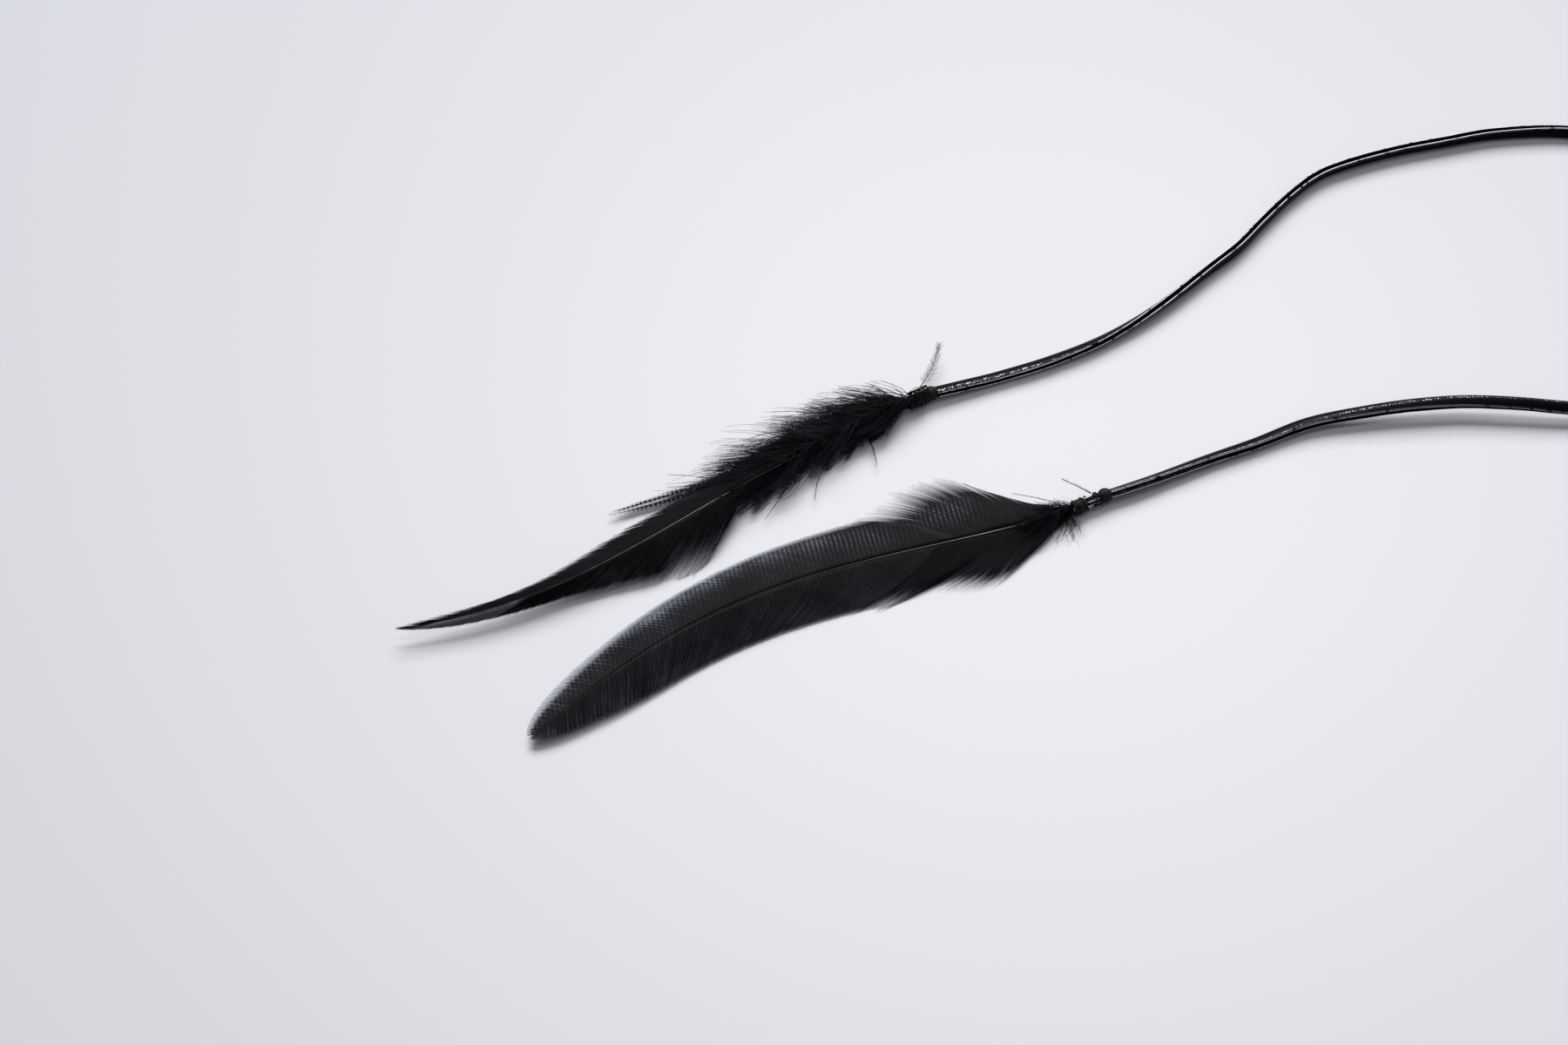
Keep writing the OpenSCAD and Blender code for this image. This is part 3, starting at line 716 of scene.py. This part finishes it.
def lit_tip_tones(i, rng):
    """Tone of the narrow feather's lower barbs: dark, then pale towards the tip, a painted
    highlight where the turned-over barbs face the light, and dark again at the very end."""
    share = i / i[-1]
    return (mix(rng.uniform(0, 0.4, len(i)), 1.0, ease((share - 0.6) / 0.08))
            * (1 - 0.8 * ease((share - 0.93) / 0.05)))


def feather_a(quill, black, barred, hollow):
    rng = np.random.default_rng(22)
    # The narrow shaft carries a painted highlight line along its crown from 0.34 on.
    add("narrow_feather_shaft",
        shaft_mesh(FEATHER_A, TURN, slim=0.24, pale=((0.34, 0), (0.4, 1), (0.9, 0.8))), quill, "a",
        ["feather_a_shaft"])
    upper = vane(FEATHER_A, -1, (0.33, 0.955), (0.43, 1),
                 5.3 * np.array([0.9, 1, 0.94, 0.7, 0.5, 0.44, 0.36]), (2.6, 3.2), inner=-0.3,
                 closes=True)
    lower = vane(FEATHER_A, 1, (0.425, 0.955), (0.55, 1),
                 7.8 * np.array([1, 0.58, 0.3, 0.22, 0.22, 0.24]), (1.4, 3.2), inner=-0.3,
                 closes=True)
    add("narrow_upper_vane",
        vane_mesh(upper, 230, rng, steps=12, fade=0.62, thin=0.2, ragged=0.035, clumps=64,
                  pull=0.22, tilt=0.25, curl=0.3), black, "a",
        ["feather_a_upper_vane"])
    # hollow is the finish whose pale stops paint the highlight on the turned tip.
    add("narrow_lower_vane",
        vane_mesh(lower, 210, rng, steps=12, fade=0.88, thin=0.25, ragged=0.02, clumps=14,
                  pull=0.015, tilt=0.25, curl=0.2, tone=lit_tip_tones), hollow, "a",
        ["feather_a_lower_vane"])
    fan = vane(FEATHER_A, 1, (0.33, 0.43), (0.446, 0.555),
               [8.2, 10.6, 10.8, 9.8, 7.8], (0.2, 1), inner=-0.3)
    lone = on_vane(fan, -0.05, np.linspace(0, 1.3, 16))[None]
    lone[..., 2] = np.maximum(lone[..., 2], 0.2)
    add("narrow_loose_barbs",
        joined(vane_mesh(fan, 88, rng, steps=18, fill=0.5, fade=0.35, thin=0.22, ragged=0.06,
                         clumps=14, pull=0.35), soft_strands(lone, 0.12, rng)),
        black, "a", ["feather_a_loose_barbs"])
    add("hackle_shaft", shaft_mesh(ACCENT, TURN, slim=0.6), quill, "a",
        ["accent_shaft"])
    for node, side in (("accent_upper_vane", -1), ("accent_lower_vane", 1)):
        w = vane(ACCENT, side, (0.5, 0.94), (0.6, 1),
                 1.6 * np.array([0.88, 1, 0.94, 0.75, 0.5]), (0.5, 1.2), closes=True)
        add(node.replace("accent", "hackle"),
            vane_mesh(w, 74, rng, steps=9, fill=0.5, fade=0.4, thin=0.2, ragged=0.16,
                      tone=banded(0.9, 5), ripple=lambda u, v: 1.1), barred, "a",
            [node])


# ---- down ----

DOWN_Y = 0.77
DOWN_LOWER_WIDTHS = 3.8 * np.array([0.9, 1, 0.79, 0.58, 0.37, 0.21])


def tufts(f, clumps, each, rng, roots, angles, lengths, heights, falls, scatter=8,
          spread=0.012, steps=8, pull=0.85, bend=0.4, wander=0.03, follow=False):
    """Pointed tufts of soft barbs. A tuft leaves the shaft at a random share between the roots,
    at an angle from it that goes from angles[0] to angles[1] along them, and turns towards the
    shaft's tip as it runs, bowed a little to a chance side. Each of its barbs has its own root,
    angle, bow and height, and is drawn into the tuft's own line more and more as it runs."""
    def sprays(t, angle, length, low, high):
        s = np.linspace(0, 1, steps)
        turn = np.radians(angle)[:, None] * (1 + bend * (0.5 - s))[None, :]
        ahead = forward(f, t)[:, None]
        aside = left_of(ahead)
        way = ahead * np.cos(turn)[..., None] + aside * np.sin(turn)[..., None]
        run = np.cumsum(way, axis=1) - way
        bow = length * rng.normal(0, wander, len(t))
        path = (on_shaft(f, t)[:, None] + run * (length / (steps - 1))[:, None, None]
                + aside * (bow[:, None] * np.sin(np.pi * s))[..., None])
        path[..., 2] = mix(low[:, None], high[:, None], ease(s)[None, :])
        return path

    share = (np.arange(clumps) + rng.uniform(0, 1, clumps)) / clumps
    t, angle = mix(*roots, share), mix(*angles, share)
    angle = angle + scatter * rng.standard_normal(clumps)
    long = mix(*lengths, share) * rng.uniform(0.6, 1.12, clumps)
    low = rng.uniform(*heights, clumps)
    if follow:
        low = on_shaft(f, t)[:, 2]
    high = np.clip(low * rng.uniform(*falls, clumps), 0.15, 5.2)
    lead = sprays(t, angle, long, low, high)
    which = np.repeat(np.arange(clumps), each)
    count = len(which)
    own = sprays(t[which] + rng.normal(0, spread, count).clip(-2 * spread, 2 * spread),
                 angle[which] + scatter * 1.2 * rng.standard_normal(count),
                 long[which] * rng.uniform(0.75, 1.05, count),
                 np.clip(low[which] + rng.normal(0, 0.1 if follow else 0.5, count), 0.2, 5.4),
                 np.clip(high[which] + rng.normal(0, 0.1 if follow else 0.3, count), 0.12, 5.4))
    k = pull * np.linspace(0, 1, steps)[None, :, None] ** 0.9
    return mix(own, lead[which], k), share[which]


def soft_strands(paths, radius, rng):
    steps = paths.shape[1]
    fall = np.linspace(1, 0.3, steps)[None, :]
    points, faces = strand_mesh(paths, radius * fall, radius * fall * 0.8)
    return points, faces, dict(
        along=np.repeat(np.tile(np.linspace(0, 1, steps), len(paths)), 4),
        tone=np.repeat(rng.uniform(0, 1, len(paths)), steps * 4))


def mat_mesh(w, rows, cols, shrink, crown, under):
    """Felted mat under the down: the vane's own form, shrunk, as a closed shell between a top
    that falls from its crown at the shaft to the edge and a flat underside."""
    u = np.linspace(0.12, 0.88, rows)[:, None]
    v = np.linspace(0, shrink, cols)[None, :]
    flat = on_vane(w, u, v)
    ridge = np.sin(np.pi * np.linspace(0, 1, rows))[:, None] ** 0.4
    high = under + 0.15 + (crown - under) * np.clip(1 - (v / shrink) ** 2, 0, 1) * ridge
    upper, low = flat.copy(), flat.copy()
    upper[..., 2], low[..., 2] = high, under
    if w["side"] < 0:
        upper, low = upper[:, ::-1], low[:, ::-1]
    n = rows * cols
    at = np.arange(n).reshape(rows, cols)
    top = np.stack([at[:-1, :-1], at[1:, :-1], at[1:, 1:], at[:-1, 1:]], -1).reshape(-1, 4)
    rim = np.concatenate([at[:-1, 0], at[-1, :-1], at[:0:-1, -1], at[0, :0:-1]])
    after = np.roll(rim, -1)
    sides = np.stack([rim, rim + n, after + n, after], -1)
    points = np.concatenate([upper.reshape(-1, 3), low.reshape(-1, 3)])
    return points, [top, top[:, ::-1] + n, sides], dict(along=np.zeros(2 * n),
                                                        tone=np.zeros(2 * n))


def down_bundle(soft, quill):
    rng = np.random.default_rng(23)
    last = (DOWN_TIP - A_BASE) / (A_TIP - A_BASE)
    t = np.linspace(0, last, 60)
    line = (on_shaft(FEATHER_A, t) + left_of(forward(FEATHER_A, t)) * DOWN_Y
            + UP * (0.25 + 1.2 * np.sin(np.pi / 2 * t / last))[:, None])
    line = np.concatenate([[[TURN, line[0, 1], line[0, 2]]], line])
    radius = np.linspace(0.2, QUILL_TIP_R, len(line))
    points, faces = strand_mesh(line[None], radius, radius)
    add("marabou_stem", (points, faces, dict(crown=np.zeros(len(points)))), quill, "a",
        ["down_stem"])
    upper = vane(FEATHER_A, -1, (0.02, 0.335), (0.06, 0.415),
                 13 * np.array([0.5, 0.85, 1, 1, 0.96, 0.92]), (1.5, 2.1), inner=0.15)
    lower = vane(FEATHER_A, 1, (0.02, 0.27), (0.05, 0.36),
                 DOWN_LOWER_WIDTHS, (0.5, 0.8), inner=0.64)
    side, u = tufts(FEATHER_A, 130, 6, rng, (0.0, 0.35), (-38, -12), (16, 22), (0.9, 3.4),
                    (0.3, 1.1), scatter=10, pull=0.7, bend=0.5, wander=0.04)
    fluff = mix(1.6, 0.15, ease((u - 0.2) / 0.45))
    fill, _ = tufts(FEATHER_A, 120, 9, rng, (0.0, 0.36), (-40, -12), (9, 17), (0.4, 3.0),
                    (0.5, 1.2), scatter=12, pull=0.5, steps=6)
    add("down_upper_side",
        joined(mat_mesh(upper, 24, 8, 0.4, 2.0, 1.3), soft_strands(side, 0.08, rng),
               soft_strands(fill, 0.09, rng), barbules(side, 20, fluff, 34, 0.028, rng)),
        soft, "a", ["down_upper"])
    side, u = tufts(FEATHER_A, 56, 12, rng, (0.005, 0.3), (27, 17), (8, 13), (0.4, 3.0),
                    (0.15, 0.8), scatter=12, pull=0.85, wander=0.06)
    add("down_lower_side",
        joined(mat_mesh(lower, 24, 6, 0.4, 1.9, 1.2), soft_strands(side, 0.08, rng),
               barbules(side, 28, mix(1.1, 0.4, u), 28, 0.028, rng)),
        soft, "a", ["down_lower"])
    top, u = tufts(FEATHER_A, 78, 11, rng, (-0.004, 0.335), (-30, -8), (12, 18), (2.4, 4.7),
                   (0.4, 0.9), scatter=12, pull=0.7, wander=0.06)
    under, w = tufts(FEATHER_A, 46, 11, rng, (-0.004, 0.29), (16, 3), (12, 18), (2.8, 4.7),
                     (0.5, 0.9), scatter=9, pull=0.75, wander=0.06)
    top, u = np.concatenate([top, under]), np.concatenate([u, w])
    add("down_crown",
        joined(soft_strands(top, 0.085, rng), barbules(top, 16, mix(1.1, 0.2, u), 26, 0.028, rng)),
        soft, "a", [])


def wisps(soft):
    rng = np.random.default_rng(24)
    lower = vane(FEATHER_A, 1, (0.02, 0.27), (0.05, 0.36),
                 DOWN_LOWER_WIDTHS, (0.9, 0.9), inner=0.64)
    meshes = []
    for u, share, angle, bow in ((0.16, 0.48, 77, 0.4), (0.4, 0.92, 42, -1.2), (0.67, 1, 36, 0.4)):
        way = np.array([np.cos(radians(angle)), np.sin(radians(angle)), 0])
        start = on_vane(lower, u, 1.0) + 0.1 * way
        f = feather(start - 2.5 * way, start + 12.5 * share * way + [0, 0, 0.5], bow, 1, 0, 0.12)
        path = on_shaft(f, np.linspace(0, 1, 14))[None]
        meshes.append(soft_strands(path, 0.13, rng))
        meshes.append(barbules(path, 130, np.full(1, 0.9), 24, 0.03, rng))
    add("long_wisps", joined(*meshes), soft, "a", ["down_wisps"])


def small_plume(soft, quill):
    rng = np.random.default_rng(25)
    add("small_plume_stem", shaft_mesh(PLUME, rings=30, slim=0.5), quill, "a",
        ["plume_stem"])
    hairs = np.concatenate([
        tufts(PLUME, 38, 2, rng, (0.16, 0.97), (side * 40, side * 26), (2.4, 1.5), (1.7, 3.3),
              (1.0, 1.05), scatter=5, spread=0.006, pull=0.3, follow=True)[0]
        for side in (1, -1)])
    add("small_plume_barbs",
        joined(soft_strands(hairs, 0.018, rng),
               barbules(hairs, 12, np.full(len(hairs), 0.45), 35, 0.008, rng)),
        soft, "a", ["plume_barbs"])


def base_tuft(soft):
    """Fine hairs that fan out of the broad feather's base, under it and beside it."""
    rng = np.random.default_rng(26)
    count = 84
    angle = np.radians(np.where(rng.uniform(0, 1, count) < 0.6, rng.uniform(30, 95, count),
                                rng.uniform(-60, -20, count)))
    reach = rng.uniform(2.5, 8, count)
    start = np.stack([rng.uniform(8.2, 11, count), rng.uniform(-0.5, 1.0, count),
                      rng.uniform(0.5, 1.6, count)], -1)
    way = np.stack([np.cos(angle), np.sin(angle), np.full(count, -0.08)], -1)
    end = start + way * reach[:, None]
    t = np.linspace(0, 1, 8)[None, :, None]
    bow = rng.normal(0, 0.6, count)[:, None, None] * np.sin(np.pi * t) * np.array([1, -1, 0.2])
    paths = mix(start[:, None], end[:, None], t) + bow
    paths[..., 2] = np.maximum(paths[..., 2], 0.1)
    core, _ = tufts(FEATHER_B, 46, 10, rng, (-0.008, 0.05), (-22, 24), (6, 12), (1.2, 2.7),
                    (0.2, 0.8), scatter=12, spread=0.01, pull=0.4)
    add("base_tuft", joined(soft_strands(paths, 0.045, rng),
                            barbules(paths, 22, np.full(count, 0.8), 30, 0.015, rng),
                            soft_strands(core, 0.09, rng),
                            barbules(core, 22, np.full(len(core), 0.9), 26, 0.028, rng)),
        soft, "b", ["down_tuft"])


# ---- bindings ----

def wound_sleeve(start, end, turns):
    """Sleeve of wound thread along +X at the knot's height, as one ring-shaped grid: out along
    the outside, where the radius rises over each turn of a helix and falls in slow lumps round
    and along it, and back along the bore."""
    around, along = 72, 90
    a = np.linspace(0, 2 * np.pi, around, endpoint=False)[:, None]
    s = np.linspace(0, 1, along)[None, :]
    ridge = np.abs(np.cos(np.pi * (s * turns + a / (2 * np.pi)))) ** 0.7
    edge = np.minimum(1, 6 * np.minimum(s, 1 - s)) ** 0.5
    lumps = 0.5 + 0.25 * np.sin(2 * a + 9 * s) + 0.25 * np.sin(3 * a - 17 * s + 1)
    outer = BORE + THREAD * mix(0.3, 1.0, ridge * lumps) * mix(0.6, 1, edge)
    bore = np.full((around, 12), BORE)
    x = np.concatenate([mix(start, end, s), np.linspace(end, start, 12)[None]], 1)
    radius = np.concatenate([outer, bore], 1)
    y, z = radius * np.cos(a), radius * np.sin(a)
    points = np.stack([np.broadcast_to(x, y.shape), y, z + KNOT_R], -1)
    at = np.arange(y.size).reshape(y.shape)
    after = np.roll(at, -1, axis=0)
    faces = np.stack([np.roll(at, -1, axis=1), np.roll(after, -1, axis=1), after, at], -1)
    return points.reshape(-1, 3), [faces.reshape(-1, 4)], {}


def loose_turns(start, end, turns, radius, thickness, phase):
    """Thread that winds round the pendant's axis at an uneven pitch, held above the table."""
    t = np.linspace(0, 1, 40 * turns)
    a = 2 * np.pi * turns * t + phase
    x = mix(start, end, t) + 0.35 * np.sin(3.1 * a / turns + phase)
    wavy = radius + 0.06 * np.sin(2.3 * a)
    line = np.stack([x, wavy * np.cos(a), np.maximum(KNOT_R + wavy * np.sin(a), thickness)], -1)
    points, faces = strand_mesh(line[None], thickness, thickness,
                                facing=unit(line * [0, 1, 1] - [0, 0, KNOT_R])[None])
    return points, faces, {}


def fuzz(start, end, count, rng):
    """Fine ends of thread that stand off a binding at chance places and angles."""
    x, a = rng.uniform(start, end, count), rng.uniform(0, 2 * np.pi, count)
    out = np.stack([0 * x, np.cos(a), np.sin(a)], -1)
    starts = out * KNOT_R * 0.9 + np.stack([x, 0 * x, 0 * x + KNOT_R], -1)
    ways = out + rng.normal(0, 0.6, (count, 3))
    points, faces, _ = hair_mesh(starts, ways, rng.uniform(0.4, 1.7, count), 0.022, rng)
    return points, faces, {}


def knot_ball(seed):
    """Ball of wound thread: a globe whose radius rises over the turns of three windings that
    cross it at different slopes."""
    rows, cols = 64, 96
    p = np.linspace(0, np.pi, rows)[1:-1, None]
    q = np.linspace(0, 2 * np.pi, cols, endpoint=False)[None, :]
    x, y, z = np.sin(p) * np.cos(q), np.sin(p) * np.sin(q), np.cos(p) + 0 * q
    rng = np.random.default_rng(seed)
    height = np.zeros_like(x)
    for _ in range(3):
        axis = unit(rng.normal(0, 1, 3))
        h = x * axis[0] + y * axis[1] + z * axis[2]
        height = np.maximum(height, np.abs(np.cos(h * 11 + rng.uniform(0, 3)))
                            * (np.abs(h) < 0.62))
    radius = KNOT_R * mix(0.9, 1.0, height)
    globe = np.stack([x, y, z], -1) * radius[..., None]
    poles = np.array([[0, 0, KNOT_R * 0.93], [0, 0, -KNOT_R * 0.93]])
    points = np.concatenate([globe.reshape(-1, 3), poles]) + [0, 0, KNOT_R]
    at = np.arange(x.size).reshape(x.shape)
    beside = np.roll(at, -1, axis=1)
    walls = np.stack([at[:-1], at[1:], beside[1:], beside[:-1]], -1)
    top, bottom = np.full(cols, x.size), np.full(cols, x.size + 1)
    caps = np.concatenate([np.stack([top, at[0], beside[0]], -1),
                           np.stack([bottom, beside[-1], at[-1]], -1)])
    return points, [walls.reshape(-1, 4), caps], {}


def cut_quills():
    """Two cut ends of quills over the sleeve: each a hollow tube with a slanting mouth."""
    meshes = []
    ring = KNOT_R + 0.45
    corners = 20
    a = 2 * np.pi * np.arange(corners) / corners
    for angle, slant in ((98, 0.5), (132, -0.4)):
        y, z = ring * np.cos(radians(angle)), KNOT_R + ring * np.sin(radians(angle))
        stations = [(0.5, 0.2, 1), (0.5, 0.3, 1), (5.5, 0.27, 0), (5.5, 0.2, 0), (4.6, 0.18, 0)]
        rings = [np.stack([x + slant * r * np.cos(a) * mouth, y + r * np.cos(a),
                           z + r * np.sin(a)], -1) for x, r, mouth in stations]
        points = np.concatenate(rings)
        meshes.append((points, ring_faces(1, len(stations), corners),
                       dict(crown=np.full(len(points), 0.25))))
    return joined(*meshes)


def lace_end(start, end):
    """Last stretch of the folded lace in its sleeve, over the quills and pressed flatter."""
    rings, height, turn = 60, 2.12, 150.0
    x = np.linspace(start, end, rings)
    line = np.stack([x, 0 * x, np.full(rings, height)], -1)
    return folded_strip(line, np.full(rings, turn), 0.84, 0.6)


def bindings(thread, leather, quill):
    rng = np.random.default_rng(28)
    for side in "ab":
        points, faces, marks = knot_ball(40 + ord(side))
        make_piece("thread_knot_" + side, placed(points, side), faces, thread, "knot_" + side,
                   ["knot_" + side], marks)
    add("thread_sleeve_a", wound_sleeve(0.95, WRAP_A_END, 14), thread, "a", ["wrap_a"])
    add("thread_sleeve_b", wound_sleeve(TURN + BARE_LACE, WRAP_B_END, 9), thread, "b",
        ["wrap_b"])
    add("loose_turns_b", joined(loose_turns(1.45, 2.8, 4, 1.45, 0.2, 0.3),
                                loose_turns(4.6, 8.0, 5, 1.62, 0.16, 2.1),
                                fuzz(1.6, 3.0, 26, rng), fuzz(4.6, 8.2, 40, rng)),
        thread, "b", [])
    add("loose_turns_a", joined(loose_turns(0.9, 5.6, 5, 1.62, 0.17, 1.0),
                                loose_turns(1.4, 4.6, 3, 1.7, 0.16, 2.6),
                                fuzz(0.9, 5.6, 50, rng)),
        thread, "a", [])
    add("cut_quill_ends", cut_quills(), quill, "a", ["quill_ends_a"])
    add("bound_lace_end_a", lace_end(TURN, WRAP_A_END), leather, "a",
        ["lace_end_a"])
    add("bare_lace_end_b", lace_end(TURN, WRAP_B_END), leather, "b",
        ["lace_end_b"])


def strays(quill, soft):
    rng = np.random.default_rng(27)
    add("stray_quill_b", shaft_mesh(STRAY, rings=24, slim=0.7), quill, "b",
        ["stray_quill"])
    paths = on_shaft(STRAY, np.linspace(0, 1, 10))[None]
    add("stray_haze", barbules(paths, 60, np.full(1, 1.6), 50, 0.018, rng), soft, "b", [])
    add("bare_stray_shaft", shaft_mesh(BARE, rings=30, slim=0.6), quill, "b",
        ["bare_shaft"])


set_camera()
lace()
set_stage()
# The crown colours paint a highlight line along the top of each shaft.
horn = quill_finish("horn_quill", (0.005, 0.005, 0.005), (0.75, 0.74, 0.72))
dark_horn = quill_finish("dark_quill", (0.003, 0.003, 0.0035), (0.022, 0.021, 0.022))
vane_grey = barb_finish("dyed_barbs_grey", (0.003, 0.003, 0.004), (0.013, 0.0135, 0.017),
                        (0.066, 0.07, 0.083), 0.4, gloss=0.1, own=0.42)
vane_black = barb_finish("dyed_barbs_black", (0.0015, 0.0015, 0.002), (0.004, 0.004, 0.0055),
                         (0.014, 0.0145, 0.019), 0.4)
# Barbs whose palest stops paint the highlight on the narrow feather's turned tip.
vane_lit_tip = barb_finish("barbs_painted_tip_highlight", (0.0015, 0.0015, 0.002), (0.005, 0.005, 0.007),
                          (0.05, 0.05, 0.058), 0.4, own=0.9)
barred = barb_finish("barred_barbs", (0.003, 0.003, 0.004), (0.02, 0.02, 0.024),
                     (0.17, 0.17, 0.18), 0.5)
soft_down = barb_finish("soft_down", (0.001, 0.001, 0.0014), (0.003, 0.0024, 0.0038),
                        (0.014, 0.011, 0.017), 0.5, 0.05, own=0.7)
feather_b(horn, vane_grey, vane_black)
feather_a(horn, vane_black, barred, vane_lit_tip)
down_bundle(soft_down, dark_horn)
wisps(soft_down)
small_plume(soft_down, dark_horn)
base_tuft(soft_down)
thread = thread_finish()
bindings(thread, bpy.data.materials["folded_lace_leather"], dark_horn)
strays(quill_finish("dull_quill", (0.006, 0.006, 0.006), (0.16, 0.16, 0.16)), soft_down)
glue = glue_finish()
for name in ("glue_a", "glue_b"):
    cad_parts[name].data.materials.clear()
    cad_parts[name].data.materials.append(glue)
